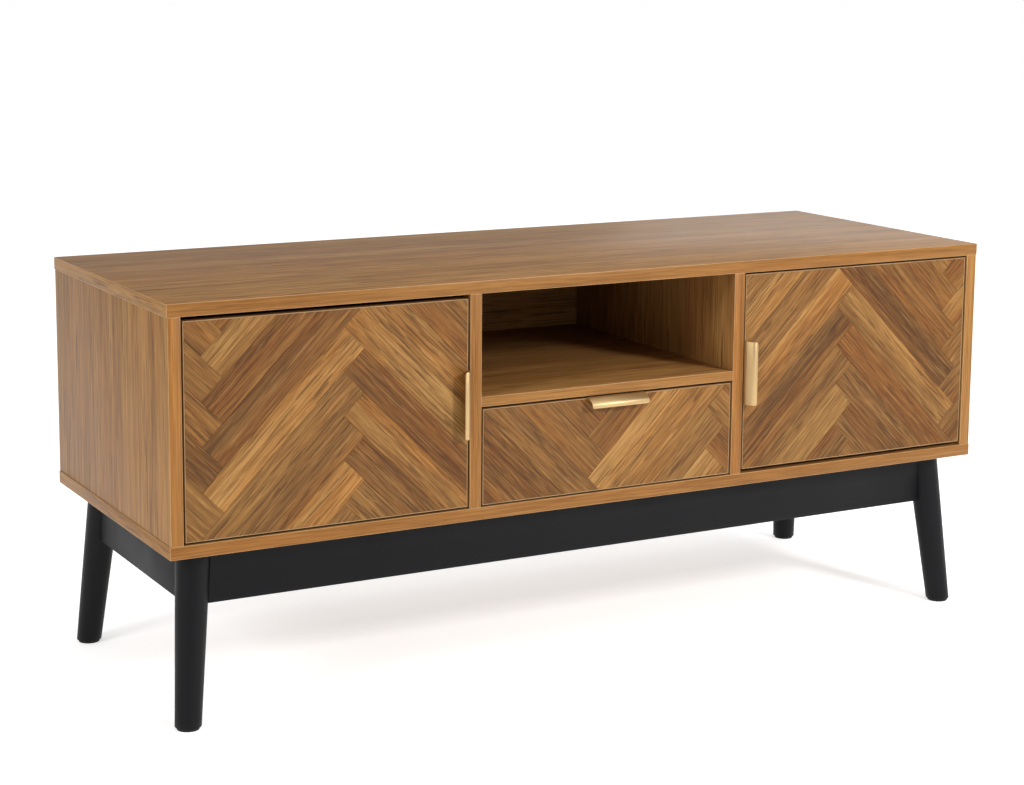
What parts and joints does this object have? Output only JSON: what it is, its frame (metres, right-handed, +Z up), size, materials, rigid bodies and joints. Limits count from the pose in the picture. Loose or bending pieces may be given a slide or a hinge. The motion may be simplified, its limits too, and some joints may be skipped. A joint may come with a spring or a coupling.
{
  "type": "tv stand with doors",
  "caption": "Low media cabinet with inset herringbone doors, a drawer under an open bay, edge-pull handles and a splayed black leg frame.",
  "frame": {"origin": "on the floor, under the middle of the whole stand's bounding box", "axes": "+Z up, +X along the stand to the right when seen from the front, and the front looks along -Y"},
  "size_m": [1.12, 0.4136, 0.486],
  "materials": {
    "wood_laminate": "satin wood-grain laminate",
    "herringbone_veneer": "satin herringbone wood",
    "satin_brass": "satin",
    "zinc_steel": "zinc plated",
    "white_steel": "epoxy coated",
    "white_nylon": "matte",
    "pale_board": "pale melamine board",
    "felt_pad": "matte",
    "black_wood": "black satin paint",
    "back_board": "wood-grain hardboard"
  },
  "bodies": {
    "case": {"top_panel": "wood_laminate", "bottom_panel": "wood_laminate", "side_panel_left": "wood_laminate", "side_panel_right": "wood_laminate", "divider_left": "wood_laminate", "divider_right": "wood_laminate", "shelf": "wood_laminate", "back_panel": "back_board", "hinge_arm_left_lower": "zinc_steel", "hinge_arm_left_upper": "zinc_steel", "hinge_arm_right_lower": "zinc_steel", "hinge_arm_right_upper": "zinc_steel", "cabinet_rail_left": "white_steel", "cabinet_rail_right": "white_steel", "leg_front_left": "black_wood", "leg_front_right": "black_wood", "leg_rear_left": "black_wood", "leg_rear_right": "black_wood", "leg_bolt_front_left": "zinc_steel", "leg_bolt_front_right": "zinc_steel", "leg_bolt_rear_left": "zinc_steel", "leg_bolt_rear_right": "zinc_steel", "foot_pad_front_left": "felt_pad", "foot_pad_front_right": "felt_pad", "foot_pad_rear_left": "felt_pad", "foot_pad_rear_right": "felt_pad", "corner_block_front_left": "black_wood", "corner_block_front_right": "black_wood", "corner_block_rear_left": "black_wood", "corner_block_rear_right": "black_wood", "apron_front": "black_wood", "apron_rear": "black_wood", "apron_left": "black_wood", "apron_right": "black_wood"},
    "door_left": {"door_left": "herringbone_veneer", "handle_door_left": "satin_brass", "hinge_cup_left_lower": "zinc_steel", "hinge_cup_left_upper": "zinc_steel"},
    "hinge_links_left": {"hinge_link_left_lower": "zinc_steel", "hinge_link_left_upper": "zinc_steel"},
    "door_right": {"door_right": "herringbone_veneer", "handle_door_right": "satin_brass", "hinge_cup_right_lower": "zinc_steel", "hinge_cup_right_upper": "zinc_steel"},
    "hinge_links_right": {"hinge_link_right_lower": "zinc_steel", "hinge_link_right_upper": "zinc_steel"},
    "drawer": {"drawer_front": "herringbone_veneer", "drawer_side_left": "pale_board", "drawer_side_right": "pale_board", "drawer_bottom": "pale_board", "drawer_back": "pale_board", "handle_drawer": "satin_brass", "drawer_rail_left": "white_steel", "drawer_rail_right": "white_steel"},
    "roller_front_left": {"roller_front_left": "white_nylon"},
    "roller_front_right": {"roller_front_right": "white_nylon"},
    "roller_rear_left": {"roller_rear_left": "white_nylon"},
    "roller_rear_right": {"roller_rear_right": "white_nylon"}
  },
  "joints": [
    {"name": "door_left_swing", "type": "hinge", "parent": "case", "child": "door_left", "pos_m": [-0.533, -0.18975, 0.344], "axis": [0, 0, -1], "range_deg": [0, 95]},
    {"name": "hinge_links_left_turn", "type": "hinge", "parent": "case", "child": "hinge_links_left", "pos_m": [-0.50675, -0.174, 0.344], "axis": [0, 0, 1], "range_deg": [0, 17.2]},
    {"name": "door_right_swing", "type": "hinge", "parent": "case", "child": "door_right", "pos_m": [0.533, -0.18975, 0.344], "axis": [0, 0, 1], "range_deg": [0, 95]},
    {"name": "hinge_links_right_turn", "type": "hinge", "parent": "case", "child": "hinge_links_right", "pos_m": [0.50675, -0.174, 0.344], "axis": [0, 0, -1], "range_deg": [0, 17.2]},
    {"name": "drawer_slide", "type": "slide", "parent": "case", "child": "drawer", "axis": [0, -1, 0], "range_m": [0, 0.25]},
    {"name": "roller_front_left_spin", "type": "hinge", "parent": "case", "child": "roller_front_left", "pos_m": [-0.17, -0.16425, 0.24775], "axis": [1, 0, 0], "continuous": true},
    {"name": "roller_front_right_spin", "type": "hinge", "parent": "case", "child": "roller_front_right", "pos_m": [0.17, -0.16425, 0.24775], "axis": [1, 0, 0], "continuous": true},
    {"name": "roller_rear_left_spin", "type": "hinge", "parent": "drawer", "child": "roller_rear_left", "pos_m": [-0.17, 0.15275, 0.2395], "axis": [1, 0, 0], "continuous": true},
    {"name": "roller_rear_right_spin", "type": "hinge", "parent": "drawer", "child": "roller_rear_right", "pos_m": [0.17, 0.15275, 0.2395], "axis": [1, 0, 0], "continuous": true}
  ],
  "couplings": [
    {"joint": "hinge_links_left_turn", "follows": "door_left_swing", "ratio": 0.18},
    {"joint": "hinge_links_right_turn", "follows": "door_right_swing", "ratio": 0.18},
    {"joint": "roller_front_left_spin", "follows": "drawer_slide", "rad_per_m": 125},
    {"joint": "roller_front_right_spin", "follows": "drawer_slide", "rad_per_m": 125},
    {"joint": "roller_rear_left_spin", "follows": "drawer_slide", "rad_per_m": 125},
    {"joint": "roller_rear_right_spin", "follows": "drawer_slide", "rad_per_m": 125}
  ]
}
